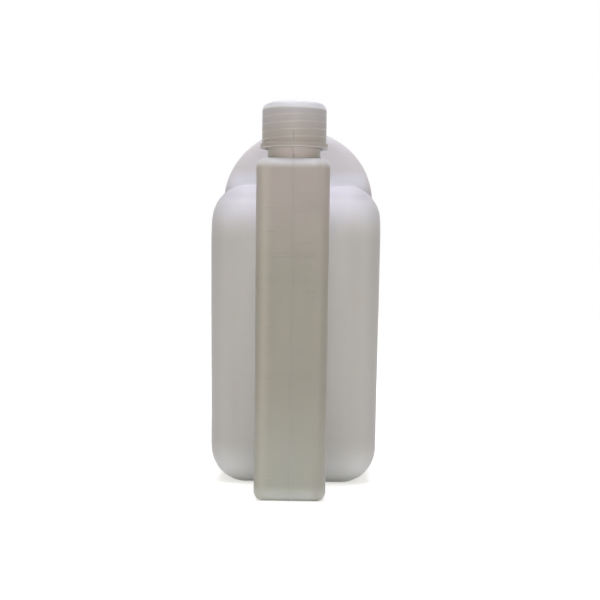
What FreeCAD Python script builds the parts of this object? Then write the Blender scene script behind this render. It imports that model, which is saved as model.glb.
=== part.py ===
"""Two-neck fuel mixing bottle, blow-moulded in natural polyethylene, with its two screw caps.

The row frame is +Z up and +Y from the measuring column to the far end of the main chamber.
X = 0 is the parting plane of the mould, z = 0 is the surface that the bottle stands on, and
the origin is the middle of the whole bottle's footprint. All sizes are in millimetres.

Every hollow of the bottle is the same form as its outside, drawn one wall further in, so
each form is made twice by one function: once with no skin and once with the wall as skin.
"""
import FreeCAD, Part
import os

import Sketcher

SIZES = [
    ("wall", 1.4, "wall of the blow-moulded bottle"),
    ("column_width", 34.6, "measuring column, side to side at the shoulder"),
    ("column_draw", 0.55, "draw-in of each side of the column at the foot"),
    ("column_depth", 34.0, "measuring column, front to back"),
    ("column_rise", 7.0, "low shoulder of the main chamber up to the column's shoulder"),
    ("column_edge", 4.4, "rounding of the column's long edges"),
    ("column_end", 4.8, "rounding of the column's shoulder and foot"),
    ("finger_gap", 28.0, "open gap between the column and the main chamber"),
    ("chamber_width", 87.6, "main chamber, side to side at the shoulder"),
    ("chamber_draw", 1.8, "draw-in of each side of the chamber at the foot"),
    ("chamber_length", 116.0, "main chamber, front to back"),
    ("chamber_height", 153.5, "foot to the low shoulder of the main chamber"),
    ("chamber_edge", 18.0, "rounding of the chamber's side edges"),
    ("chamber_brow", 30.0, "rounding of the shoulder above the finger gap"),
    ("chamber_heel", 21.0, "rounding of the chamber's other cross edges"),
    ("recess_width", 26.0, "recess under the chamber, side to side"),
    ("recess_margin", 30.0, "either end of the chamber to the recess under it"),
    ("recess_rise", 1.6, "depth of the recess under the chamber"),
    ("recess_corner", 8.0, "corner rounding of the recess"),
    ("dome_side_step", 3.5, "chamber's side in to the side of the raised rear shoulder"),
    ("dome_sink", 6.3, "low shoulder down to where the dome's round begins"),
    ("dome_length", 53.0, "dome's back to its sloping front, at the low shoulder"),
    ("dome_lean", 24.0, "lean of the dome's front from upright, in degrees"),
    ("dome_inset", 3.0, "step in from the chamber's far end to the dome's back"),
    ("dome_front_edge", 8.0, "rounding round the dome's sloping front"),
    ("dome_back_edge", 14.0, "rounding round the dome's back"),
    ("dome_blend", 7.0, "hollow round where the dome grows out of the shoulder"),
    ("seat_drop", 1.8, "dome's crest down to the flat that the main neck stands on"),
    ("seat_radius", 15.5, "radius of that flat"),
    ("main_neck_inset", 26.0, "chamber's far end to the main neck's axis"),
    ("passage_radius", 10.0, "outside of the passage that joins the column to the chamber"),
    ("passage_drop", 19.5, "low shoulder down to the passage's axis"),
    ("web_thickness", 4.2, "pinched web at the foot of the finger gap"),
    ("web_bottom", 8.0, "lower edge of the web"),
    ("web_top", 30.0, "upper edge of the web"),
    ("gap_blend", 3.0, "hollow round where the passage and the web meet the walls"),
    ("column_neck_radius", 12.55, "outside of the column's neck, without thread"),
    ("column_neck_height", 24.2, "shoulder to mouth of the column's neck"),
    ("main_neck_radius", 11.5, "outside of the main neck, without thread"),
    ("main_neck_height", 13.0, "seat to mouth of the main neck"),
    ("neck_wall", 1.75, "wall of either neck"),
    ("neck_lip", 0.6, "rounding of either mouth"),
    ("liner_thickness", 1.0, "sealing disc in a cap"),
    ("cap_top_thickness", 1.8, "top plate of a cap"),
    ("cap_wall", 1.35, "skirt of a cap"),
    ("cap_inner_round", 1.0, "rounding inside the top of a cap"),
    ("column_cap_radius", 15.3, "outside of the column's cap"),
    ("column_cap_round", 4.0, "rounding round the top of the column's cap"),
    ("column_cap_foot_gap", 3.9, "shoulder to the foot of the column's cap"),
    ("column_rim_radius", 16.1, "turned-out foot rim of the column's cap"),
    ("column_rim_height", 2.4, "height of that rim"),
    ("main_cap_radius", 14.15, "outside of the main cap"),
    ("main_cap_round", 3.5, "rounding round the top of the main cap"),
    ("main_cap_foot_gap", 1.4, "seat to the foot of the main cap"),
    ("main_rim_radius", 14.45, "turned-out foot rim of the main cap"),
    ("main_rim_height", 1.6, "height of that rim"),
    ("rim_edge", 0.25, "rounding of a foot rim's corners"),
]

doc = FreeCAD.newDocument("fuel_mixing_bottle")
sizes = doc.addObject("Spreadsheet::Sheet", "sizes")
for line, (alias, value, note) in enumerate(SIZES, start=1):
    sizes.set(f"A{line}", alias)
    sizes.set(f"B{line}", str(value))
    sizes.set(f"C{line}", note)
    sizes.setAlias(f"B{line}", alias)
doc.recompute()

# Two places closer than this are one place.
SAME = 0.01

# Heights, as expressions of the sheet.
COLUMN_TOP = "(sizes.chamber_height + sizes.column_rise)"
COLUMN_MOUTH = f"({COLUMN_TOP} + sizes.column_neck_height)"
DOME_RADIUS = "(sizes.chamber_width / 2 - sizes.dome_side_step)"
DOME_SPRING = "(sizes.chamber_height - sizes.dome_sink)"
SEAT = f"({DOME_SPRING} + {DOME_RADIUS} - sizes.seat_drop)"
MAIN_MOUTH = f"({SEAT} + sizes.main_neck_height)"
PASSAGE_HEIGHT = "(sizes.chamber_height - sizes.passage_drop)"

# Places along Y. The foremost point is the column or its cap.
REACH = "max(sizes.column_rim_radius; sizes.column_depth / 2)"
BEHIND = "(sizes.column_depth / 2 + sizes.finger_gap + sizes.chamber_length)"
COLUMN_AXIS = f"(({REACH} - {BEHIND}) / 2)"
COLUMN_NEAR = f"({COLUMN_AXIS} - sizes.column_depth / 2)"
COLUMN_BACK = f"({COLUMN_AXIS} + sizes.column_depth / 2)"
CHAMBER_NEAR = f"({COLUMN_BACK} + sizes.finger_gap)"
CHAMBER_FAR = f"({CHAMBER_NEAR} + sizes.chamber_length)"
MAIN_AXIS = f"({CHAMBER_FAR} - sizes.main_neck_inset)"


def measure(expression):
    """The value of an expression of the sheet's sizes."""
    return float(sizes.evalExpression(expression))


def new_body(name):
    """An empty body with the piece's own name."""
    body = doc.addObject("PartDesign::Body", name)
    body.Label = name
    return body


def new_sketch(body, name, plane, shift=("0", "0", "0")):
    """A sketch on one of the body's own origin planes, shifted in that plane's axes."""
    sketch = body.newObject("Sketcher::SketchObject", name)
    support = [item for item in body.Origin.OriginFeatures if item.Role == plane][0]
    sketch.AttachmentSupport = [(support, "")]
    sketch.MapMode = "FlatFace"
    for axis, amount in zip("xyz", shift):
        sketch.setExpression(f"AttachmentOffset.Base.{axis}", amount)
    return sketch


def hold_point(sketch, geometry, point, across, up):
    """Holds a point of a sketch at its distances across and up from the sketch's origin."""
    for kind, expression in (("DistanceX", across), ("DistanceY", up)):
        held = Sketcher.Constraint(kind, -1, 1, geometry, point, measure(expression))
        index = sketch.addConstraint(held)
        sketch.setExpression(f"Constraints[{index}]", expression)


def draw_polygon(sketch, corners):
    """A closed outline of straight lines; each corner is a pair of expressions."""
    places = [FreeCAD.Vector(measure(across), measure(up), 0) for across, up in corners]
    count = len(corners)
    for index in range(count):
        sketch.addGeometry(Part.LineSegment(places[index], places[(index + 1) % count]), False)
    for index in range(count):
        sketch.addConstraint(Sketcher.Constraint("Coincident", index, 2, (index + 1) % count, 1))
    for index, (across, up) in enumerate(corners):
        hold_point(sketch, index, 1, across, up)


def draw_rectangle(sketch, left, right, bottom, top):
    """A rectangle between four expressions."""
    draw_polygon(sketch, [(left, bottom), (right, bottom), (right, top), (left, top)])


def draw_circle(sketch, across, up, radius):
    """A circle whose centre and radius are expressions."""
    centre = FreeCAD.Vector(measure(across), measure(up), 0)
    sketch.addGeometry(Part.Circle(centre, FreeCAD.Vector(0, 0, 1), measure(radius)), False)
    hold_point(sketch, 0, 3, across, up)
    index = sketch.addConstraint(Sketcher.Constraint("Radius", 0, measure(radius)))
    sketch.setExpression(f"Constraints[{index}]", radius)


def extrude(body, kind, name, sketch, length, backwards=False, both_ways=False):
    """A pad or a pocket of the sketch; both_ways spreads the length about its plane."""
    feature = body.newObject(f"PartDesign::{kind}", name)
    feature.Profile = sketch
    feature.setExpression("Length", length)
    feature.Reversed = backwards
    if both_ways:
        feature.SideType = "Symmetric"
    doc.recompute()
    return feature


def round_edges(body, name, edges, radius):
    """A fillet on named edges of the body's last feature."""
    base = body.Tip
    fillet = body.newObject("PartDesign::Fillet", name)
    fillet.Base = (base, edges)
    fillet.setExpression("Radius", radius)
    doc.recompute()
    return fillet


def join(body, name, others, kind="Fuse"):
    """Adds other bodies to this one, or cuts them from it."""
    boolean = body.newObject("PartDesign::Boolean", name)
    boolean.Type = kind
    boolean.setObjects(others)
    doc.recompute()
    return boolean


def edge_names(body, wanted):
    """The names of the edges of a body's shape that pass a test."""
    return [f"Edge{index}" for index, edge in enumerate(body.Shape.Edges, start=1) if wanted(edge)]


def middle(edge):
    """The point half-way along an edge."""
    return edge.valueAt((edge.FirstParameter + edge.LastParameter) / 2)


def lies_along(edge, direction):
    """Whether an edge is straight and parallel to a direction."""
    if not isinstance(edge.Curve, Part.Line):
        return False
    return abs(edge.tangentAt(edge.FirstParameter).dot(direction)) > 0.999


def rings(body, height, radius):
    """The names of the level circles of a body that have a given height and radius."""
    level = measure(height)
    reach = measure(radius)

    def is_ring(edge):
        box = edge.BoundBox
        at_level = abs(box.ZMax - level) < SAME and box.ZLength < SAME
        return at_level and abs(box.XMax - reach) < SAME

    return edge_names(body, is_ring)


def is_hollow(shape, edge):
    """Whether the two faces of an edge meet in an inside corner.

    A point is moved off the edge between the two outward normals. Off an outside corner the
    edge itself is the nearest part of the shape; in an inside corner the faces are nearer.
    """
    probe = 20 * SAME
    slack = 0.9995
    spot = middle(edge)
    faces = shape.ancestorsOfType(edge, Part.Face)
    if len(faces) != 2:
        return False
    normals = [face.normalAt(*face.Surface.parameter(spot)) for face in faces]
    between = normals[0] + normals[1]
    if between.Length < SAME:
        return False
    between.normalize()
    distance = shape.distToShape(Part.Vertex(spot + between * probe))[0]
    return distance < slack * probe


def block(name, across, draw, near, depth, top, skin, edge, brow, heel):
    """A chamber: flat sides that draw in towards the foot, every edge rounded.

    The cross edges are rounded first, so that each flat side has a smooth outline, and then
    the rounding of the side edges runs all the way round it.
    """
    body = new_body(name)
    sketch = new_sketch(body, f"{name}_front", "XZ_Plane", ("0", "0", f"-({near} + {skin})"))
    half_top = f"{across} / 2 - {skin}"
    half_foot = f"{half_top} - {draw}"
    ceiling = f"{top} - {skin}"
    draw_polygon(sketch, [(f"-({half_foot})", skin), (half_foot, skin),
                          (half_top, ceiling), (f"-({half_top})", ceiling)])
    extrude(body, "Pad", f"{name}_block", sketch, f"{depth} - 2 * {skin}", backwards=True)
    x_way = FreeCAD.Vector(1, 0, 0)
    mid_y = measure(f"{near} + {depth} / 2")
    mid_z = measure(top) / 2

    def is_brow(cross):
        spot = middle(cross)
        return lies_along(cross, x_way) and spot.y < mid_y and spot.z > mid_z

    round_edges(body, f"{name}_brow", edge_names(body, is_brow), f"{brow} - {skin}")

    def is_heel(cross):
        spot = middle(cross)
        at_foot = spot.z < measure(skin) + SAME
        at_back = spot.y > mid_y and spot.z > mid_z
        on_end = abs(abs(spot.y - mid_y) - measure(f"{depth} / 2 - {skin}")) < SAME
        return lies_along(cross, x_way) and on_end and (at_foot or at_back)

    round_edges(body, f"{name}_heel", edge_names(body, is_heel), f"{heel} - {skin}")

    side_x = measure(half_foot) - SAME

    def is_side(rim):
        on_side = all(abs(vertex.X) > side_x for vertex in rim.Vertexes)
        return on_side and not lies_along(rim, x_way)

    round_edges(body, f"{name}_edge", edge_names(body, is_side), f"{edge} - {skin}")
    return body


def dome(name, skin):
    """The raised rear shoulder: a round-topped block with a leaning front and a flat seat."""
    body = new_body(name)
    radius = f"({DOME_RADIUS} - {skin})"
    back = f"({CHAMBER_FAR} - sizes.dome_inset - {skin})"
    lean = "tan(sizes.dome_lean * 1deg)"
    start = (f"({CHAMBER_FAR} - sizes.dome_inset - sizes.dome_length"
             f" + {skin} / cos(sizes.dome_lean * 1deg))")
    root = "(sizes.chamber_height - 2 * sizes.chamber_edge)"
    crest = f"({DOME_SPRING} + {radius} + sizes.wall)"
    low = f"({start} - (sizes.chamber_height - {root}) * {lean})"
    high = f"({start} + ({crest} - sizes.chamber_height) * {lean})"
    length = f"({back} - {low})"
    lower = new_sketch(body, f"{name}_lower", "XZ_Plane", ("0", "0", f"-{back}"))
    draw_rectangle(lower, f"-{radius}", radius, root, DOME_SPRING)
    extrude(body, "Pad", f"{name}_sides", lower, length)
    upper = new_sketch(body, f"{name}_upper", "XZ_Plane", ("0", "0", f"-{back}"))
    draw_circle(upper, "0", DOME_SPRING, radius)
    extrude(body, "Pad", f"{name}_round", upper, length)
    wedge = new_sketch(body, f"{name}_wedge", "YZ_Plane")
    floor = f"({root} - {radius})"
    ahead = f"({low} - {radius})"
    draw_polygon(wedge, [(ahead, floor), (low, floor), (low, root), (high, crest), (ahead, crest)])
    extrude(body, "Pocket", f"{name}_slope", wedge, f"2 * ({radius} + sizes.wall)",
            both_ways=True)
    far_y = measure(back)
    root_z = measure(root)

    def is_back(edge):
        at_back = all(abs(vertex.Y - far_y) < SAME for vertex in edge.Vertexes)
        return at_back and middle(edge).z > root_z + SAME

    round_edges(body, f"{name}_back", edge_names(body, is_back), f"sizes.dome_back_edge - {skin}")

    def is_front(edge):
        spot = middle(edge)
        slope = measure(low) + (spot.z - root_z) * measure(lean)
        return abs(spot.y - slope) < SAME and spot.z > root_z + SAME

    round_edges(body, f"{name}_front", edge_names(body, is_front),
                f"sizes.dome_front_edge - {skin}")
    seat = new_sketch(body, f"{name}_seat", "XY_Plane", ("0", "0", f"{SEAT} - {skin}"))
    draw_circle(seat, "0", MAIN_AXIS, "sizes.seat_radius")
    extrude(body, "Pocket", f"{name}_flat", seat, radius, backwards=True)
    return body


def chambers(name, skin):
    """The main chamber with its dome, its recessed foot, and the measuring column beside it."""
    body = block(name, "sizes.chamber_width", "sizes.chamber_draw", CHAMBER_NEAR,
                 "sizes.chamber_length", "sizes.chamber_height", skin,
                 "sizes.chamber_edge", "sizes.chamber_brow", "sizes.chamber_heel")
    join(body, f"{name}_dome_join", [dome(f"{name}_dome", skin)])
    shoulder = measure("sizes.chamber_height") + SAME

    def is_dome_foot(edge):
        return middle(edge).z < shoulder and is_hollow(body.Shape, edge)

    round_edges(body, f"{name}_blend", edge_names(body, is_dome_foot),
                f"sizes.dome_blend + {skin}")
    recess = new_sketch(body, f"{name}_recess", "XY_Plane", ("0", "0", skin))
    half_width = f"(sizes.recess_width / 2 + {skin})"
    margin = f"(sizes.recess_margin - {skin})"
    draw_rectangle(recess, f"-{half_width}", half_width,
                   f"{CHAMBER_NEAR} + {margin}", f"{CHAMBER_FAR} - {margin}")
    extrude(body, "Pocket", f"{name}_foot", recess, "sizes.recess_rise", backwards=True)

    recess_top = measure(f"{skin} + sizes.recess_rise")

    def is_recess_corner(edge):
        return lies_along(edge, FreeCAD.Vector(0, 0, 1)) and middle(edge).z < recess_top

    round_edges(body, f"{name}_foot_corners", edge_names(body, is_recess_corner),
                f"sizes.recess_corner + {skin}")
    column = block(f"{name}_column", "sizes.column_width", "sizes.column_draw", COLUMN_NEAR,
                   "sizes.column_depth", COLUMN_TOP, skin,
                   "sizes.column_edge", "sizes.column_end", "sizes.column_end")
    join(body, f"{name}_column_join", [column])
    return body


def drill(body, name, axis, floor, top, radius):
    """A round hole straight down through a body, from top to floor."""
    sketch = new_sketch(body, name, "XY_Plane", ("0", "0", top))
    draw_circle(sketch, "0", axis, radius)
    return extrude(body, "Pocket", f"{name}_cut", sketch, f"{top} - {floor}")


def revolve(body, kind, name, axis, outline):
    """Turns a half outline of (radius, height) corners round an upright axis on X = 0."""
    sketch = new_sketch(body, f"{name}_outline", "YZ_Plane", (axis, "0", "0"))
    draw_polygon(sketch, outline)
    feature = body.newObject(f"PartDesign::{kind}", name)
    feature.Profile = sketch
    feature.ReferenceAxis = (sketch, ["V_Axis"])
    feature.Angle = 360
    doc.recompute()
    return feature


def neck(name, axis, seat, mouth, radius):
    """A neck without its thread: a plain tube, sunk two walls into what carries it."""
    body = new_body(name)
    bottom = f"({seat} - 2 * sizes.wall)"
    sketch = new_sketch(body, f"{name}_ring", "XY_Plane", ("0", "0", bottom))
    draw_circle(sketch, "0", axis, radius)
    extrude(body, "Pad", f"{name}_tube", sketch, f"{mouth} - {bottom}")
    return body


def cap(name, axis, foot, mouth, radius, top_round, rim_radius, rim_height):
    """A smooth cap with a rounded top, a thin skirt and a foot rim turned out a little."""
    body = new_body(name)
    ceiling = f"({mouth} + sizes.liner_thickness)"
    top = f"({ceiling} + sizes.cap_top_thickness)"
    hollow = f"({radius} - sizes.cap_wall)"
    revolve(body, "Revolution", f"{name}_outside", axis, [
        ("0", foot), (rim_radius, foot), (rim_radius, f"{foot} + {rim_height}"),
        (radius, f"{foot} + {rim_height}"), (radius, top), ("0", top)])
    round_edges(body, f"{name}_top_round", rings(body, top, radius), top_round)
    round_edges(body, f"{name}_rim_round", rings(body, foot, rim_radius)
                + rings(body, f"{foot} + {rim_height}", rim_radius), "sizes.rim_edge")
    revolve(body, "Groove", f"{name}_inside", axis, [
        ("0", foot), (hollow, foot), (hollow, ceiling), ("0", ceiling)])
    round_edges(body, f"{name}_inner_round", rings(body, ceiling, hollow),
                "sizes.cap_inner_round")
    return body


def liner(name, axis, mouth, radius):
    """A flat sealing disc on the mouth, up to the rounding inside the top of a cap."""
    body = new_body(name)
    sketch = new_sketch(body, f"{name}_disc", "XY_Plane", ("0", "0", mouth))
    draw_circle(sketch, "0", axis, f"{radius} - sizes.cap_wall - sizes.cap_inner_round")
    extrude(body, "Pad", f"{name}_sheet", sketch, "sizes.liner_thickness")
    return body


def bottle():
    """The blow-moulded bottle: both chambers, the passage, the web and both necks."""
    body = chambers("bottle", "0")
    reach = f"({CHAMBER_NEAR} + sizes.chamber_brow - {COLUMN_AXIS})"
    passage = new_body("passage")
    tube = new_sketch(passage, "passage_tube", "XZ_Plane", ("0", "0", f"-{COLUMN_AXIS}"))
    draw_circle(tube, "0", PASSAGE_HEIGHT, "sizes.passage_radius")
    extrude(passage, "Pad", "passage_way", tube, reach, backwards=True)
    web = new_body("web")
    sheet = new_sketch(web, "web_sheet", "YZ_Plane")
    draw_rectangle(sheet, f"{COLUMN_BACK} - sizes.column_end",
                   f"{CHAMBER_NEAR} + sizes.chamber_heel", "sizes.web_bottom", "sizes.web_top")
    extrude(web, "Pad", "web_plate", sheet, "sizes.web_thickness", both_ways=True)
    join(body, "links", [passage, web])
    web_z = measure("sizes.web_bottom") - SAME
    column_back = measure(COLUMN_BACK)
    chamber_edge = measure(f"{CHAMBER_NEAR} + sizes.chamber_brow")
    gap_width = measure("sizes.passage_radius") + SAME

    def is_gap_corner(edge):
        spot = middle(edge)
        in_gap = column_back - SAME < spot.y < chamber_edge and spot.z > web_z
        return in_gap and abs(spot.x) < gap_width and is_hollow(body.Shape, edge)

    round_edges(body, "gap_blend", edge_names(body, is_gap_corner), "sizes.gap_blend")
    column_neck = neck("column_neck", COLUMN_AXIS, COLUMN_TOP, COLUMN_MOUTH,
                       "sizes.column_neck_radius")
    main_neck = neck("main_neck", MAIN_AXIS, SEAT, MAIN_MOUTH, "sizes.main_neck_radius")
    join(body, "necks", [column_neck, main_neck])
    void = chambers("hollow", "sizes.wall")
    bore = new_body("passage_bore")
    hole = new_sketch(bore, "passage_hole", "XZ_Plane", ("0", "0", f"-{COLUMN_AXIS}"))
    draw_circle(hole, "0", PASSAGE_HEIGHT, "sizes.passage_radius - sizes.wall")
    extrude(bore, "Pad", "passage_bore_way", hole, reach, backwards=True)
    join(body, "hollowing", [void, bore], "Cut")
    for name, axis, base, mouth, radius in (
            ("column_bore", COLUMN_AXIS, COLUMN_TOP, COLUMN_MOUTH, "sizes.column_neck_radius"),
            ("main_bore", MAIN_AXIS, SEAT, MAIN_MOUTH, "sizes.main_neck_radius")):
        inside = f"({radius} - sizes.neck_wall)"
        drill(body, name, axis, f"({base} - 4 * sizes.wall)", mouth, inside)
        round_edges(body, f"{name}_lip", rings(body, mouth, inside) + rings(body, mouth, radius),
                    "sizes.neck_lip")
    return body


pieces = [
    bottle(),
    cap("column_cap", COLUMN_AXIS, f"({COLUMN_TOP} + sizes.column_cap_foot_gap)",
        COLUMN_MOUTH, "sizes.column_cap_radius", "sizes.column_cap_round",
        "sizes.column_rim_radius", "sizes.column_rim_height"),
    liner("column_cap_liner", COLUMN_AXIS, COLUMN_MOUTH, "sizes.column_cap_radius"),
    cap("main_cap", MAIN_AXIS, f"({SEAT} + sizes.main_cap_foot_gap)", MAIN_MOUTH,
        "sizes.main_cap_radius", "sizes.main_cap_round",
        "sizes.main_rim_radius", "sizes.main_rim_height"),
    liner("main_cap_liner", MAIN_AXIS, MAIN_MOUTH, "sizes.main_cap_radius"),
]
doc.recompute()

for item in doc.Objects:
    if "Invalid" in item.State or "Error" in item.State:
        raise RuntimeError(f"{item.Name} failed: {item.State}")
for piece in pieces:
    if piece.Shape.isNull() or not piece.Shape.isValid():
        raise RuntimeError(f"{piece.Label} has no valid shape")

os.makedirs("parts", exist_ok=True)
for piece in pieces:
    piece.Shape.exportStep(f"parts/{piece.Label}.step")
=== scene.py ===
"""Looks of a two-neck fuel mixing bottle: milky natural polyethylene, blown in two mould halves.

The bottle's own shape comes from the frame. This script welds it into one smooth skin and adds
what the mould and the caps leave on it: the parting line, the screw threads, the measuring
marks on the column and the moulding marks of the caps. All lengths are in metres.
"""

import math

import bmesh
import bpy
import numpy as np
from mathutils import Euler, Matrix, Vector
from mathutils.bvhtree import BVHTree


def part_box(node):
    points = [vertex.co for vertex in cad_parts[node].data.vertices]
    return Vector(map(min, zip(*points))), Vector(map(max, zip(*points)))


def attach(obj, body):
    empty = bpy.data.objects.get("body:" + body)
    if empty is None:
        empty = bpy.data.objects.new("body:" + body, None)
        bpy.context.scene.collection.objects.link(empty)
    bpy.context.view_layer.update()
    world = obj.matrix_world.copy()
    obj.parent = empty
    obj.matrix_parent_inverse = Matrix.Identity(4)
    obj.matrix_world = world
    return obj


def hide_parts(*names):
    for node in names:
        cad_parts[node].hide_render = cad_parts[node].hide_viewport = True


MM = 0.001
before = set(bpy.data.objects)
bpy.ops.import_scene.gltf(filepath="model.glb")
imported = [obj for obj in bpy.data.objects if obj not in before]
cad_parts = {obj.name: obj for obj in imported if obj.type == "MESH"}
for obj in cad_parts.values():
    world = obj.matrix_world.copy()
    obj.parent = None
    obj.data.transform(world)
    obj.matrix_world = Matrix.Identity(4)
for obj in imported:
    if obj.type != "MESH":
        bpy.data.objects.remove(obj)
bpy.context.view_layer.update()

# Places read from the frame.
bottle_low, bottle_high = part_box("bottle")
column_cap_low, column_cap_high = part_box("column_cap")
main_cap_low, main_cap_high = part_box("main_cap")
COLUMN_AXIS = (column_cap_low.y + column_cap_high.y) / 2
MAIN_AXIS = (main_cap_low.y + main_cap_high.y) / 2
COLUMN_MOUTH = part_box("column_cap_liner")[0].z
MAIN_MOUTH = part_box("main_cap_liner")[0].z
COLUMN_NEAR = bottle_low.y

CHAMBER_LENGTH = 116.0 * MM
CHAMBER_MIDDLE = bottle_high.y - CHAMBER_LENGTH / 2
RECESS = 1.6 * MM               # how high the surface under the chamber is set in
SCAR_HALF = 26.0 * MM           # half the length of the welded scar there
SHARP_DEGREES = 32              # edges over this angle stay sharp
SHORTEST_SEAM = 8 * MM          # shorter runs of the parting line are left out

PITCH = 3.5 * MM
THREAD_FOOT = 2.1 * MM          # from a cap's foot up to its thread
THREAD_TOP = 2.1 * MM           # from its thread up to the neck's mouth
THREAD_END = 3.2 * MM           # from where its thread stops showing up to the cap's top
LINER_PLAY = 1.0 * MM           # from a disc's edge to the cap's bore
PLATE_PLAY = 0.03 * MM          # from a disc up to the cap's top plate
COLUMN_NECK = 12.55 * MM        # radius
MAIN_NECK = 11.5 * MM

# The column's cap is a little shorter than its CAD node, so its foot is lifted: the rim
# moves as one, and the skirt is pressed together over the stretch above it.
COLUMN_CAP_FOOT = column_cap_low.z + 1.3 * MM
MAIN_CAP_FOOT = main_cap_low.z
CAP_RIM = 3.0 * MM
CAP_STRETCH = 3.0 * MM

# The scale on the column.
SCALE_FOOT = 1.2 * MM
SCALE_STEP = 11.36 * MM
SCALE_LEFT = -11.6 * MM
RELIEF = 0.12 * MM


# --- meshes -----------------------------------------------------------------------------------

def tube_faces(rows, columns):
    """Quads of a grid of rows x columns points, wrapped round along its columns."""
    row, column = np.meshgrid(np.arange(rows - 1), np.arange(columns), indexing="ij")
    here = row * columns + column
    beside = row * columns + (column + 1) % columns
    return np.stack([here, beside, beside + columns, here + columns], -1).reshape(-1, 4)


def mesh_object(name, points, faces, smooth=True):
    """A mesh object from an array of points and an array or list of faces."""
    mesh = bpy.data.meshes.new(name)
    mesh.from_pydata(np.asarray(points).reshape(-1, 3).tolist(), [], [list(f) for f in faces])
    mesh.polygons.foreach_set("use_smooth", [smooth] * len(mesh.polygons))
    mesh.update()
    obj = bpy.data.objects.new(name, mesh)
    bpy.context.scene.collection.objects.link(obj)
    return obj


def face_outwards(mesh):
    """Turns the faces of a closed mesh outwards."""
    bm = bmesh.new()
    bm.from_mesh(mesh)
    bmesh.ops.recalc_face_normals(bm, faces=bm.faces)
    bm.to_mesh(mesh)
    bm.free()


def carried_profile(name, path, across, up, profile):
    """A closed bar: the profile's (across, up) pairs are added to each point of a path.

    path is (n, 3); across and up are unit vectors of the section at each point, (n, 3);
    profile is (n, m, 2), so that a section may grow and shrink along the way. Both ends
    are closed with one face.
    """
    points = (path[:, None, :] + across[:, None, :] * profile[:, :, :1]
              + up[:, None, :] * profile[:, :, 1:])
    n, m = profile.shape[:2]
    faces = tube_faces(n, m).tolist()
    faces.append(list(range(m))[::-1])
    faces.append(list(range((n - 1) * m, n * m)))
    obj = mesh_object(name, points, faces)
    face_outwards(obj.data)
    return obj


def thread(name, axis_y, start, turns, root, height, width, outward):
    """A screw thread: a rounded ridge on the helix z = start + pitch * angle / (2 pi).

    The ridge's section is height * (1 - |s|^3) over s from -1 to 1 across its width, it is
    sunk a little into the wall that carries it, and it dies away over a third of a turn at
    each end as sqrt(distance from the end).
    """
    steps = int(turns * 72) + 1
    angle = np.linspace(0, turns * 2 * np.pi, steps)
    fade = np.clip(np.minimum(angle, angle[-1] - angle) / (2 * np.pi / 3), 0, 1) ** 0.5
    side = 1.0 if outward else -1.0
    radial = np.stack([np.cos(angle), np.sin(angle), np.zeros(steps)], 1)
    rise = np.tile([0.0, 0.0, 1.0], (steps, 1))
    path = radial * root
    path[:, 1] += axis_y
    path[:, 2] = start + PITCH * angle / (2 * np.pi)
    s = np.linspace(-1, 1, 13)
    crown = height * (1 - np.abs(s) ** 3)
    sunk = -0.25 * MM
    ridge = np.stack([side * crown * fade[:, None],
                      np.broadcast_to(s * width / 2, (steps, len(s)))], -1)
    back = np.stack([np.full((steps, 2), side * sunk),
                     np.broadcast_to(np.array([1, -1]) * width / 2, (steps, 2))], -1)
    profile = np.concatenate([ridge, back], 1)
    return carried_profile(name, path, radial, rise, profile)


def ride_as(obj, body, material):
    """Gives a piece its body and its material."""
    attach(obj, body)
    obj.data.materials.clear()
    obj.data.materials.append(material)
    return obj


# --- node helpers -----------------------------------------------------------------------------

def node(tree, kind, settings=None, **inputs):
    """A node with its settings, and its inputs set to values or linked to sockets."""
    made = tree.nodes.new(kind)
    for key, value in (settings or {}).items():
        setattr(made, key, value)
    for key, value in inputs.items():
        socket = made.inputs[int(key[1:])] if key[0] == "i" and key[1:].isdigit() else (
            made.inputs[key.replace("_", " ")])
        if isinstance(value, bpy.types.NodeSocket):
            tree.links.new(value, socket)
        else:
            socket.default_value = value
    return made


def maths(tree, operation, *values):
    """The output of a Math node."""
    made = node(tree, "ShaderNodeMath", {"operation": operation},
                **{f"i{k}": v for k, v in enumerate(values)})
    return made.outputs[0]


def length_of(tree, vector):
    """The length of a vector."""
    made = node(tree, "ShaderNodeVectorMath", {"operation": "LENGTH"}, i0=vector)
    return made.outputs["Value"]


def smooth_step(tree, value, low, high, to_low=0.0, to_high=1.0):
    """A value carried smoothly from to_low at low to to_high at high."""
    made = node(tree, "ShaderNodeMapRange", {"interpolation_type": "SMOOTHSTEP"}, Value=value)
    limits = {"From Min": low, "From Max": high, "To Min": to_low, "To Max": to_high}
    for label, number in limits.items():
        made.inputs[label].default_value = number
    return made.outputs[0]


def mix_colour(tree, factor, first, second):
    """Two colours, given as (red, green, blue) or as sockets, mixed by a factor."""
    made = tree.nodes.new("ShaderNodeMix")
    made.data_type = "RGBA"
    tree.links.new(factor, made.inputs[0])
    for socket, value in ((made.inputs[6], first), (made.inputs[7], second)):
        if isinstance(value, bpy.types.NodeSocket):
            tree.links.new(value, socket)
        else:
            socket.default_value = (*value, 1)
    return made.outputs[2]


def banded(tree, along, colour, *bands):
    """A colour that changes along an axis: each band is (start, end, its colour).

    A band's colour takes over smoothly from its start to its end and holds beyond. Where
    the start is the greater of the two, it takes over towards lower values.
    """
    for start, end, band_colour in bands:
        if start < end:
            share = smooth_step(tree, along, start, end)
        else:
            share = smooth_step(tree, along, end, start, 1.0, 0.0)
        colour = mix_colour(tree, share, colour, band_colour)
    return colour


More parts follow.
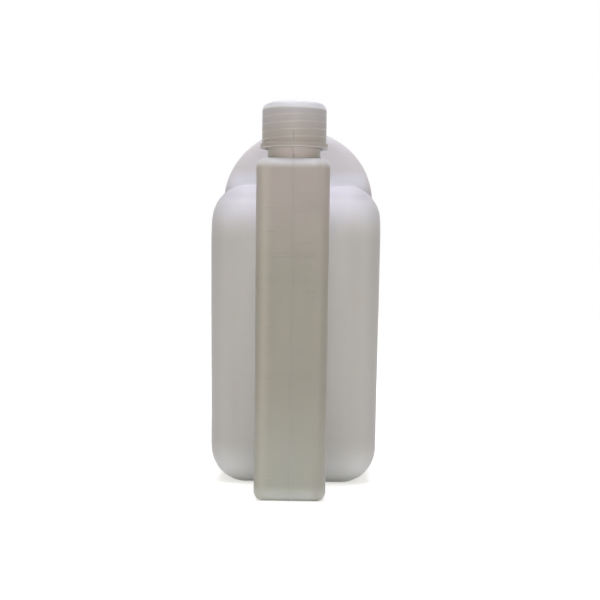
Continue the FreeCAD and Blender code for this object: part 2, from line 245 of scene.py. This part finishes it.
def new_group(name, ins, outs):
    """An empty node group with named float, vector or colour sockets."""
    group = bpy.data.node_groups.new(name, "ShaderNodeTree")
    for direction, sockets in (("INPUT", ins), ("OUTPUT", outs)):
        for label, kind, value in sockets:
            socket = group.interface.new_socket(label, in_out=direction, socket_type=kind)
            if value is not None:
                socket.default_value = value
    return group, group.nodes.new("NodeGroupInput"), group.nodes.new("NodeGroupOutput")


def use_group(tree, group, **inputs):
    """A node that uses a group."""
    made = tree.nodes.new("ShaderNodeGroup")
    made.node_tree = group
    for key, value in inputs.items():
        socket = made.inputs[key.replace("_", " ")]
        if isinstance(value, bpy.types.NodeSocket):
            tree.links.new(value, socket)
        else:
            socket.default_value = value
    return made


def make_skin_group():
    """Surface of moulded polyethylene: fine orange peel over slow waviness, and cloudiness."""
    group, given, out = new_group(
        "moulded_skin",
        [("Peel", "NodeSocketFloat", 0.3), ("Waves", "NodeSocketFloat", 0.3)],
        [("Cloud", "NodeSocketFloat", None), ("Normal", "NodeSocketVector", None)])
    place = group.nodes.new("ShaderNodeTexCoord").outputs["Object"]
    peel = node(group, "ShaderNodeTexNoise", Vector=place, Scale=1400.0, Detail=2.0).outputs[0]
    upright = node(group, "ShaderNodeMapping", Vector=place, Scale=(1.0, 1.0, 0.25)).outputs[0]
    wave = node(group, "ShaderNodeTexNoise", Vector=upright, Scale=60.0, Detail=1.0).outputs[0]
    cloud = node(group, "ShaderNodeTexNoise", Vector=upright, Scale=38.0, Detail=4.0,
                 Roughness=0.55).outputs[0]
    low = node(group, "ShaderNodeBump", Height=wave, Strength=given.outputs["Waves"],
               Distance=0.004).outputs[0]
    fine = node(group, "ShaderNodeBump", Height=peel, Strength=given.outputs["Peel"],
                Distance=0.0002, Normal=low).outputs[0]
    group.links.new(smooth_step(group, cloud, 0.3, 0.7), out.inputs["Cloud"])
    group.links.new(fine, out.inputs["Normal"])
    return group


def make_thread_group():
    """Mask of a screw thread seen through a cap's skirt: 1 on the line, 0 between lines.

    The line is where (height - start) / pitch - angle / (2 pi) is a whole number.
    """
    group, given, out = new_group(
        "thread_lines",
        [("Axis", "NodeSocketFloat", 0.0), ("Start", "NodeSocketFloat", 0.0),
         ("End", "NodeSocketFloat", 0.0)],
        [("Line", "NodeSocketFloat", None)])
    place = group.nodes.new("ShaderNodeTexCoord").outputs["Object"]
    x, y, z = node(group, "ShaderNodeSeparateXYZ", Vector=place).outputs
    from_axis = maths(group, "SUBTRACT", y, given.outputs["Axis"])
    turn = maths(group, "DIVIDE", maths(group, "ARCTAN2", from_axis, x), 2 * math.pi)
    height = maths(group, "SUBTRACT", z, given.outputs["Start"])
    turns_up = maths(group, "DIVIDE", height, PITCH)
    phase = maths(group, "FRACT", maths(group, "SUBTRACT", turns_up, turn))
    apart = maths(group, "ABSOLUTE", maths(group, "SUBTRACT", phase, 0.5))
    line = smooth_step(group, apart, 0.38, 0.47)
    above = smooth_step(group, height, 0.0, 0.6 * MM)
    below = maths(group, "GREATER_THAN", given.outputs["End"], z)
    masked = maths(group, "MULTIPLY", maths(group, "MULTIPLY", line, above), below)
    patchy = node(group, "ShaderNodeTexNoise", Vector=place, Scale=70.0, Detail=2.0).outputs[0]
    shown = maths(group, "MULTIPLY", masked, smooth_step(group, patchy, 0.35, 0.65, 0.2, 1.0))
    group.links.new(shown, out.inputs["Line"])
    return group


def new_material(name):
    """A material with a Principled shader: (material, tree, shader, object coordinates)."""
    made = bpy.data.materials.new(name)
    made.use_nodes = True
    tree = made.node_tree
    shader = tree.nodes["Principled BSDF"]
    place = tree.nodes.new("ShaderNodeTexCoord").outputs["Object"]
    return made, tree, shader, place


def set_plastic(shader, roughness, subsurface, radius):
    """Constant values of a translucent plastic."""
    shader.inputs["Roughness"].default_value = roughness
    shader.inputs["IOR"].default_value = 1.53
    shader.inputs["Specular IOR Level"].default_value = 0.25
    shader.inputs["Subsurface Weight"].default_value = subsurface
    shader.inputs["Subsurface Radius"].default_value = (1.0, 0.92, 0.8)
    shader.inputs["Subsurface Scale"].default_value = radius


SKIN = make_skin_group()
THREAD = make_thread_group()


def bottle_material(name, subsurface, neck):
    """Natural polyethylene: milky, darker and warmer on the column, part its own warmer tone and
    part painted shade.

    Painted light and shade: the column's middle height is painted a shade deeper than its ends,
    which carry painted light, and its flanks are paler than its front, which carries painted
    shade. The chamber is painted palest at its foot, on its brow and at the foot of the dome, as
    painted light, and deeper at its edges, as painted shade. neck is the tone above the column's
    top, painted pale as light against the cap's shade.
    """
    made, tree, shader, place = new_material(name)
    skin = use_group(tree, SKIN, Peel=0.25, Waves=0.12)
    cloud = skin.outputs["Cloud"]
    x, y, z = node(tree, "ShaderNodeSeparateXYZ", Vector=place).outputs
    side = maths(tree, "ABSOLUTE", x)

    # The chamber: the wall that faces the column is painted paler, as painted light against the
    # shade that the column casts on it.
    wall = mix_colour(tree, cloud, (0.657, 0.631, 0.590), (0.674, 0.647, 0.606))
    near = smooth_step(tree, y, -24 * MM, -10 * MM, 1.0, 0.0)
    painted_gap_light = maths(tree, "MULTIPLY", smooth_step(tree, side, 18 * MM, 31 * MM, 1.0, 0.0), near)
    wall = mix_colour(tree, painted_gap_light, wall, (0.78, 0.755, 0.715))
    # Bands of painted light on the brow, at the foot of the dome and on the crown, with the
    # shoulder between held darker; they keep to the front, and the rear stays plain.
    front = banded(tree, z, wall,
                   (124 * MM, 141 * MM, (0.85, 0.81, 0.82)),        # brow
                   (143 * MM, 148 * MM, (0.68, 0.65, 0.68)),        # shoulder
                   (151 * MM, 157 * MM, (0.94, 0.90, 0.92)),        # foot of the dome
                   (158 * MM, 166 * MM, (0.78, 0.735, 0.71)))       # crown
    body = banded(tree, y, front, (45 * MM, 70 * MM, wall))         # the rear stays plain
    # The chamber's foot is painted pale: painted light from below, full under 5 mm.
    body = banded(tree, z, body, (24 * MM, 5 * MM, (0.97, 0.98, 0.94)))
    # Painted shade towards the chamber's sides.
    edge = maths(tree, "MULTIPLY", smooth_step(tree, side, 34 * MM, 42 * MM), 0.4)
    body = mix_colour(tree, edge, body, (0.52, 0.50, 0.48))

    # The column: its own warmer tone, painted deeper at mid-height as painted shade, with painted
    # light on its upper part and towards its foot, a painted highlight on the rounding at the top,
    # and above that the neck's tone.
    middle = mix_colour(tree, cloud, (0.368, 0.350, 0.293), (0.394, 0.372, 0.314))
    foot = banded(tree, z, (0.476, 0.476, 0.42), (8 * MM, 2 * MM, (0.653, 0.674, 0.638)))
    column = banded(tree, z, middle,
                    (100 * MM, 152 * MM, (0.474, 0.418, 0.387)),    # upper part
                    (155 * MM, 158.5 * MM, (0.71, 0.695, 0.69)),    # rounding at the top
                    (160.2 * MM, 161.5 * MM, neck),
                    (60 * MM, 6 * MM, foot))
    # Painted light on the column's left rounded corner and painted shade on its right one.
    inner = smooth_step(tree, side, 9 * MM, 13 * MM)
    outer = smooth_step(tree, side, 13.5 * MM, 16.5 * MM, 1.0, 0.0)
    painted_corner_mask = maths(tree, "MULTIPLY", maths(tree, "MULTIPLY", inner, outer), 0.35)
    painted_corner_tone = banded(tree, x, (0.58, 0.55, 0.47), (-1 * MM, 1 * MM, (0.40, 0.37, 0.33)))
    column = mix_colour(tree, painted_corner_mask, column, painted_corner_tone)
    # The column's flanks turn paler than its front, whose painted shade stays on the front.
    flank = smooth_step(tree, y, COLUMN_NEAR + 3.5 * MM, COLUMN_NEAR + 12 * MM, 0.0, 0.75)
    column = mix_colour(tree, flank, column, (0.58, 0.55, 0.49))

    # The column's tone fades into the chamber's through the passage and the web.
    on_column = smooth_step(tree, y, COLUMN_AXIS + 17 * MM, COLUMN_AXIS + 45 * MM, 1.0, 0.0)
    tree.links.new(mix_colour(tree, on_column, body, column), shader.inputs["Base Color"])
    tree.links.new(skin.outputs["Normal"], shader.inputs["Normal"])
    set_plastic(shader, 0.42, subsurface, 0.004)
    return made


def cap_material(name, axis, foot, top, bore, subsurface):
    """Cap of the same family of plastic, painted deeper towards its foot as painted shade where
    the neck stands behind it.

    Upwards from the foot come the rim, painted darker as painted shade, with its under side
    painted paler as painted light, the skirt, the crest under the rounded top edge with its
    painted highlight, and the duller flat top. The thread within shows through as thin paler
    lines, a short upright line of the mould stands near the foot of the skirt, and the bore is
    painted paler as painted light in its shade.
    """
    made, tree, shader, place = new_material(name)
    skin = use_group(tree, SKIN, Peel=0.2, Waves=0.1)
    x, y, z = node(tree, "ShaderNodeSeparateXYZ", Vector=place).outputs
    line = use_group(tree, THREAD, Axis=axis, Start=foot + THREAD_FOOT,
                     End=top - THREAD_END).outputs["Line"]
    # Painted shade on the skirt and rim, deepest at the foot where the neck stands behind; painted
    # light on the rim's under side; a painted highlight on the crest and the rounding.
    skirt = mix_colour(tree, skin.outputs["Cloud"], (0.462, 0.421, 0.378), (0.487, 0.442, 0.403))
    wall = banded(tree, z, (0.54, 0.51, 0.48),
                  (foot + 0.2 * MM, foot + 0.5 * MM, (0.42, 0.383, 0.343)),     # rim
                  (foot + 1.7 * MM, foot + 3.1 * MM, skirt),
                  (foot + 3.7 * MM, top - 2 * MM, (0.555, 0.527, 0.535)),
                  (top - 4.1 * MM, top - 3.0 * MM, (0.95, 0.93, 0.94)),         # crest
                  (top - 2.4 * MM, top - 0.8 * MM, (0.72, 0.70, 0.715)),        # rounding
                  (top - 0.4 * MM, top - 0.1 * MM, (0.52, 0.50, 0.50)))         # flat top
    streak = mix_colour(tree, line, wall, (0.63, 0.59, 0.545))
    narrow = smooth_step(tree, maths(tree, "ABSOLUTE", x), 0.15 * MM, 0.4 * MM, 1.0, 0.0)
    in_front = maths(tree, "LESS_THAN", y, axis)
    span = maths(tree, "MULTIPLY", smooth_step(tree, z, foot + 2.7 * MM, foot + 3.7 * MM),
                 smooth_step(tree, z, foot + 6.7 * MM, foot + 7.7 * MM, 1.0, 0.0))
    tick = maths(tree, "MULTIPLY", maths(tree, "MULTIPLY", narrow, in_front), span)
    marked = mix_colour(tree, maths(tree, "MULTIPLY", tick, 0.6), streak, (0.33, 0.30, 0.265))
    # The bore is painted paler: painted light in the shade within the cap.
    from_axis = maths(tree, "SUBTRACT", y, axis)
    off_axis = node(tree, "ShaderNodeCombineXYZ", X=x, Y=from_axis).outputs[0]
    radius = length_of(tree, off_axis)
    painted_bore_light = smooth_step(tree, radius, bore, bore + 0.5 * MM, 1.0, 0.0)
    shown = mix_colour(tree, painted_bore_light, marked, (0.80, 0.78, 0.76))
    tree.links.new(shown, shader.inputs["Base Color"])
    raised = node(tree, "ShaderNodeBump", Height=line, Strength=0.15, Distance=0.0003,
                  Normal=skin.outputs["Normal"]).outputs[0]
    tree.links.new(raised, shader.inputs["Normal"])
    set_plastic(shader, 0.36, subsurface, 0.004)
    return made


def liner_material():
    """Closed-cell foam disc: white, matt, with fine pores."""
    made, tree, shader, place = new_material("liner_foam")
    pores = node(tree, "ShaderNodeTexVoronoi", Vector=place, Scale=2600.0).outputs["Distance"]
    tone = smooth_step(tree, pores, 0.1, 0.6)
    tree.links.new(mix_colour(tree, tone, (0.66, 0.65, 0.63), (0.82, 0.81, 0.79)),
                   shader.inputs["Base Color"])
    bump = node(tree, "ShaderNodeBump", Height=pores, Strength=0.4, Distance=0.0002).outputs[0]
    tree.links.new(bump, shader.inputs["Normal"])
    shader.inputs["Roughness"].default_value = 0.85
    return made


# --- the bottle -------------------------------------------------------------------------------

def welded_copy(source, name):
    """A copy of a CAD node's mesh, its points merged, smooth but for its sharp edges."""
    obj = bpy.data.objects.new(name, source.data.copy())
    bpy.context.scene.collection.objects.link(obj)
    obj.data.name = name
    bm = bmesh.new()
    bm.from_mesh(obj.data)
    bmesh.ops.remove_doubles(bm, verts=bm.verts, dist=2e-6)
    bmesh.ops.dissolve_degenerate(bm, dist=1e-6, edges=bm.edges)
    bm.to_mesh(obj.data)
    bm.free()
    attribute = obj.data.attributes.get("custom_normal")
    if attribute:
        obj.data.attributes.remove(attribute)
    obj.data.shade_smooth()
    obj.data.set_sharp_from_angle(angle=math.radians(SHARP_DEGREES))
    weighted = obj.modifiers.new("even_normals", "WEIGHTED_NORMAL")
    weighted.keep_sharp = True
    return obj


# The last colour is the neck's tone, painted paler as painted light in the cap's shade.
PLASTIC = bottle_material("natural_polyethylene", 0.8, (0.647, 0.567, 0.551))
RELIEF_PLASTIC = bottle_material("polyethylene_relief", 0.0, (0.65, 0.58, 0.56))
skin_piece = welded_copy(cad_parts["bottle"], "bottle_skin")
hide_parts("bottle")
ride_as(skin_piece, "bottle", PLASTIC)

# A neck's thread lies half a pitch above the thread of the cap on it.
for name, axis, cap_foot, root, turns in (
        ("column", COLUMN_AXIS, COLUMN_CAP_FOOT, COLUMN_NECK, 3.5),
        ("main", MAIN_AXIS, MAIN_CAP_FOOT, MAIN_NECK, 1.5)):
    start = cap_foot + THREAD_FOOT + PITCH / 2
    male = thread(f"{name}_neck_thread", axis, start, turns, root, 1.05 * MM, 1.7 * MM, True)
    ride_as(male, "bottle", RELIEF_PLASTIC)


def parting_line(skin, wide, proud):
    """The mould's parting line: a low rounded ridge on the outer outline at X = 0.

    The outline is the skin's cut at X = 0. A point of it belongs to the outside if a ray
    that starts just off the wall and runs along +X meets nothing. The outside's edges are
    joined end to end into runs, and the longest run is number 1.
    """
    bm = bmesh.new()
    bm.from_mesh(skin.data)
    tree = BVHTree.FromBMesh(bm)
    cut = bmesh.ops.bisect_plane(bm, geom=bm.verts[:] + bm.edges[:] + bm.faces[:], dist=1e-7,
                                 plane_co=(0, 0, 0), plane_no=(1, 0, 0))
    bm.edges.index_update()

    def outward(edge):
        normal = sum((face.normal for face in edge.link_faces), Vector())
        normal.x = 0
        return normal.normalized()

    def is_outside(edge):
        spot = (edge.verts[0].co + edge.verts[1].co) / 2 + outward(edge) * 0.4 * MM
        return tree.ray_cast(spot, Vector((1, 0, 0)))[0] is None

    edges = [item for item in cut["geom_cut"] if isinstance(item, bmesh.types.BMEdge)]
    outside = {edge.index: edge for edge in edges if is_outside(edge)}
    runs = []
    while outside:
        edge = outside.popitem()[1]
        run = [edge.verts[0], edge.verts[1]]
        ways = [outward(edge)]
        for end in (1, 0):
            while True:
                tip = run[-1] if end else run[0]
                following = [e for e in tip.link_edges if e.index in outside]
                if not following:
                    break
                step = outside.pop(following[0].index)
                point = step.other_vert(tip)
                if end:
                    run.append(point)
                    ways.append(outward(step))
                else:
                    run.insert(0, point)
                    ways.insert(0, outward(step))
        runs.append((np.array([v.co[:] for v in run]), np.array([w[:] for w in ways])))
    runs.sort(key=lambda run: len(run[0]), reverse=True)
    bm.free()
    angle = np.linspace(0, np.pi, 9)
    ridge = np.stack([wide / 2 * np.cos(angle), proud * np.sin(angle)], 1)
    sunk = -0.2 * MM
    section = np.vstack([ridge, [[-wide / 2, sunk], [wide / 2, sunk]]])
    made = []
    for number, (points, ways) in enumerate(runs, start=1):
        if np.linalg.norm(np.diff(points, axis=0), axis=1).sum() < SHORTEST_SEAM:
            continue
        points[:, 0] = 0
        up = np.vstack([ways[:1], ways[:-1] + ways[1:], ways[-1:]])
        up /= np.linalg.norm(up, axis=1)[:, None]
        across = np.tile([1.0, 0.0, 0.0], (len(points), 1))
        profile = np.broadcast_to(section, (len(points), *section.shape))
        made.append(carried_profile(f"parting_line_{number}", points, across, up, profile))
    return made


for seam in parting_line(skin_piece, wide=0.6 * MM, proud=0.08 * MM):
    ride_as(seam, "bottle", RELIEF_PLASTIC)


# --- measuring marks --------------------------------------------------------------------------

def bar(name, left, right, height, thick, proud):
    """A raised mark on the column's front: a low bar with sloping edges."""
    outer = np.array([[left, height - thick / 2], [right, height - thick / 2],
                      [right, height + thick / 2], [left, height + thick / 2]])
    inner = outer + proud * np.array([[1, 1], [-1, 1], [-1, -1], [1, -1]])
    layers = [(outer, COLUMN_NEAR + 0.3 * MM), (outer, COLUMN_NEAR - 0.01 * MM),
              (inner, COLUMN_NEAR - proud)]
    points = np.array([[[x, y, z] for x, z in ring] for ring, y in layers])
    faces = tube_faces(3, 4).tolist() + [[3, 2, 1, 0], [8, 9, 10, 11]]
    obj = mesh_object(name, points, faces, smooth=False)
    face_outwards(obj.data)
    return obj


def figures(name, text, left, height, size):
    """Raised plain figures on the column's front."""
    curve = bpy.data.curves.new(name, "FONT")
    curve.body = text
    curve.size = size
    curve.extrude = 0.11 * MM
    curve.bevel_depth = 0.03 * MM
    curve.bevel_resolution = 0
    curve.resolution_u = 4
    curve.align_y = "CENTER"
    text_object = bpy.data.objects.new(name, curve)
    bpy.context.scene.collection.objects.link(text_object)
    text_object.matrix_world = Matrix.Translation((left, COLUMN_NEAR + 0.02 * MM, height)) @ (
        Euler((math.pi / 2, 0, 0)).to_matrix().to_4x4())
    bpy.context.view_layer.update()
    mesh = bpy.data.meshes.new_from_object(text_object.evaluated_get(
        bpy.context.evaluated_depsgraph_get()))
    mesh.transform(text_object.matrix_world)
    bpy.data.objects.remove(text_object)
    obj = bpy.data.objects.new(name, mesh)
    bpy.context.scene.collection.objects.link(obj)
    return obj


def pinch_off(name, near, far, level, wide, proud):
    """The welded scar of the blown tube's end: a blunt ridge that hangs from a level surface."""
    steps = 60
    path = np.zeros((steps, 3))
    path[:, 1] = np.linspace(near, far, steps)
    path[:, 2] = level
    along = np.linspace(0, 1, steps)
    fade = np.clip(np.minimum(along, 1 - along) * 12, 0, 1) ** 0.5
    sunk = -0.3 * MM
    angle = np.linspace(0, np.pi, 9)
    ridge = np.stack([np.cos(angle) * wide / 2, np.sin(angle) ** 0.6 * proud], 1)
    profile = np.repeat(ridge[None], steps, 0) * np.stack([np.ones(steps), fade], 1)[:, None]
    root = np.array([[-wide / 2, sunk], [wide / 2, sunk]])
    profile = np.concatenate([profile, np.repeat(root[None], steps, 0)], 1)
    across = np.tile([1.0, 0.0, 0.0], (steps, 1))
    down = np.tile([0.0, 0.0, -1.0], (steps, 1))
    return carried_profile(name, path, across, down, profile)


def scale_marks():
    """A plain scale on the column, with a mark for every ten at SCALE_FOOT + tens * SCALE_STEP.

    Every fifth mark is long and has small figures after its end, every third has large
    ones, and every second has a half mark above it on the right-hand side.
    """
    made = []
    for tens in range(1, 13):
        level = SCALE_FOOT + tens * SCALE_STEP
        value = tens * 10
        long = tens % 5 == 0
        right = (3.0 if long else -7.8) * MM
        made.append(bar(f"mark_{value}", SCALE_LEFT, right, level, 0.6 * MM, RELIEF))
        if long:
            made.append(figures(f"figures_{value}", str(value), 5.4 * MM, level, 3.6 * MM))
        elif tens % 3 == 0:
            made.append(figures(f"figures_{value}", str(value), 0.4 * MM, level, 7.6 * MM))
        if tens % 2 == 0:
            made.append(bar(f"half_mark_{value + 5}", 3.6 * MM, 10.8 * MM,
                            level + SCALE_STEP / 2, 0.5 * MM, RELIEF))
    return made


for mark in scale_marks():
    ride_as(mark, "bottle", RELIEF_PLASTIC)

scar_piece = pinch_off("chamber_pinch_off", CHAMBER_MIDDLE - SCAR_HALF, CHAMBER_MIDDLE + SCAR_HALF,
                       level=RECESS, wide=1.8 * MM, proud=0.9 * MM)
ride_as(scar_piece, "bottle", RELIEF_PLASTIC)


# --- caps and liners --------------------------------------------------------------------------

def fit_cap(obj, foot, lift, plate):
    """Shortens a cap's skirt from below, and frees its top plate from the disc by a hair.

    A point moves up by lift * (1 - s). s is 0 up to CAP_RIM above the foot and grows to 1
    over CAP_STRETCH, as t^2 * (3 - 2 t). The points of the plate's flat underside rise by
    PLATE_PLAY.
    """
    count = len(obj.data.vertices)
    places = np.empty(count * 3)
    obj.data.vertices.foreach_get("co", places)
    places = places.reshape(-1, 3)
    t = np.clip((places[:, 2] - foot - CAP_RIM) / CAP_STRETCH, 0, 1)
    places[:, 2] += lift * (1 - t * t * (3 - 2 * t))
    on_plate = np.abs(places[:, 2] - plate) < 0.01 * MM
    places[on_plate, 2] += PLATE_PLAY
    obj.data.vertices.foreach_set("co", places.ravel())
    obj.data.update()


FOAM = liner_material()
for name, axis, foot, mouth in (
        ("column", COLUMN_AXIS, COLUMN_CAP_FOOT, COLUMN_MOUTH),
        ("main", MAIN_AXIS, MAIN_CAP_FOOT, MAIN_MOUTH)):
    cap_low, cap_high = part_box(f"{name}_cap")
    liner_low, liner_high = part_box(f"{name}_cap_liner")
    bore = (liner_high.x - liner_low.x) / 2 + LINER_PLAY
    cap_plastic = cap_material(f"{name}_cap_plastic", axis, foot, cap_high.z, bore, 0.8)
    cap_relief = cap_material(f"{name}_cap_relief", axis, foot, cap_high.z, bore, 0.0)
    cap_skin = welded_copy(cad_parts[f"{name}_cap"], f"{name}_cap_skin")
    fit_cap(cap_skin, cap_low.z, foot - cap_low.z, liner_high.z)
    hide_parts(f"{name}_cap")
    ride_as(cap_skin, f"{name}_cap", cap_plastic)
    liner_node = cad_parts[f"{name}_cap_liner"]
    liner_node.data.materials.clear()
    liner_node.data.materials.append(FOAM)
    turns = (mouth - foot - THREAD_FOOT - THREAD_TOP) / PITCH
    female = thread(f"{name}_cap_thread", axis, foot + THREAD_FOOT, turns, bore,
                    0.85 * MM, 1.5 * MM, False)
    ride_as(female, f"{name}_cap", cap_relief)


# --- floor, light and camera ------------------------------------------------------------------

def camera_sees(tree):
    """1 where the camera looks, straight or in a reflection or through glass, else 0."""
    path = tree.nodes.new("ShaderNodeLightPath").outputs
    return maths(tree, "MAXIMUM", path["Is Camera Ray"],
                 maths(tree, "MAXIMUM", path["Is Glossy Ray"], path["Is Transmission Ray"]))


def make_floor():
    """A white floor that still takes the object's shadow.

    To the camera it glows a little, less near the object, where the shadow is.
    """
    made = bpy.data.materials.new("white_floor")
    made.use_nodes = True
    tree = made.node_tree
    tree.nodes.clear()
    out = tree.nodes.new("ShaderNodeOutputMaterial")
    place = tree.nodes.new("ShaderNodeTexCoord").outputs["Object"]
    glow = smooth_step(tree, length_of(tree, place), 0.15, 0.6, 0.55, 1.0)
    matt = node(tree, "ShaderNodeBsdfDiffuse", Color=(0.96, 0.95, 0.92, 1)).outputs[0]
    light = node(tree, "ShaderNodeEmission", Color=(1, 1, 1, 1), Strength=glow).outputs[0]
    both = node(tree, "ShaderNodeAddShader", i0=matt, i1=light).outputs[0]
    mixed = node(tree, "ShaderNodeMixShader", i0=camera_sees(tree), i1=matt, i2=both).outputs[0]
    tree.links.new(mixed, out.inputs[0])
    half = 6.0
    level = -0.1 * MM
    corners = [(-half, -half, level), (half, -half, level), (half, half, level),
               (-half, half, level)]
    floor = mesh_object("floor", corners, [(0, 1, 2, 3)], smooth=False)
    floor.data.materials.append(made)


def make_world(fill):
    """An even room: white where the camera or a reflection looks, softer as a light."""
    world = bpy.data.worlds.new("white_room")
    bpy.context.scene.world = world
    world.use_nodes = True
    tree = world.node_tree
    tree.nodes.clear()
    out = tree.nodes.new("ShaderNodeOutputWorld")
    white = node(tree, "ShaderNodeBackground", Color=(1, 1, 1, 1), Strength=1.0).outputs[0]
    room = node(tree, "ShaderNodeBackground", Color=fill, Strength=1.0).outputs[0]
    mixed = node(tree, "ShaderNodeMixShader", i0=camera_sees(tree), i1=room, i2=white).outputs[0]
    tree.links.new(mixed, out.inputs[0])


def area_light(name, place, target, across, along, power, colour):
    """An oblong soft light that looks at a target."""
    data = bpy.data.lights.new(name, "AREA")
    data.shape = "RECTANGLE"
    data.size = across
    data.size_y = along
    data.energy = power
    data.color = colour
    lamp = bpy.data.objects.new(name, data)
    lamp.location = place
    lamp.rotation_euler = (Vector(target) - Vector(place)).to_track_quat("-Z", "Y").to_euler()
    lamp.visible_camera = False
    bpy.context.scene.collection.objects.link(lamp)


make_floor()
make_world((0.155, 0.15, 0.12, 1))
area_light("overhead", (0.0, 0.0, 1.25), (0.0, 0.0, 0.08), 0.8, 2.0, 15.0, (0.96, 0.95, 1.11))
area_light("front_card", (0.0, -0.75, 0.04), (0.0, 0.0, 0.03), 0.4, 0.4, 2.2, (1.0, 1.0, 0.9))

camera_data = bpy.data.cameras.new("camera")
camera_data.lens = 96.0
camera_data.sensor_width = 36.0
camera_data.clip_start = 0.01
camera = bpy.data.objects.new("camera", camera_data)
camera.matrix_world = (Matrix.Translation((0.017, -0.833, 0.0969))
                       @ Euler((0, 0, math.radians(1.003))).to_matrix().to_4x4()
                       @ Euler((math.radians(90 - 0.222), 0, 0)).to_matrix().to_4x4()
                       @ Euler((0, 0, math.radians(0.7))).to_matrix().to_4x4())
bpy.context.scene.collection.objects.link(camera)
bpy.context.scene.camera = camera
bpy.context.scene.view_settings.view_transform = "Standard"
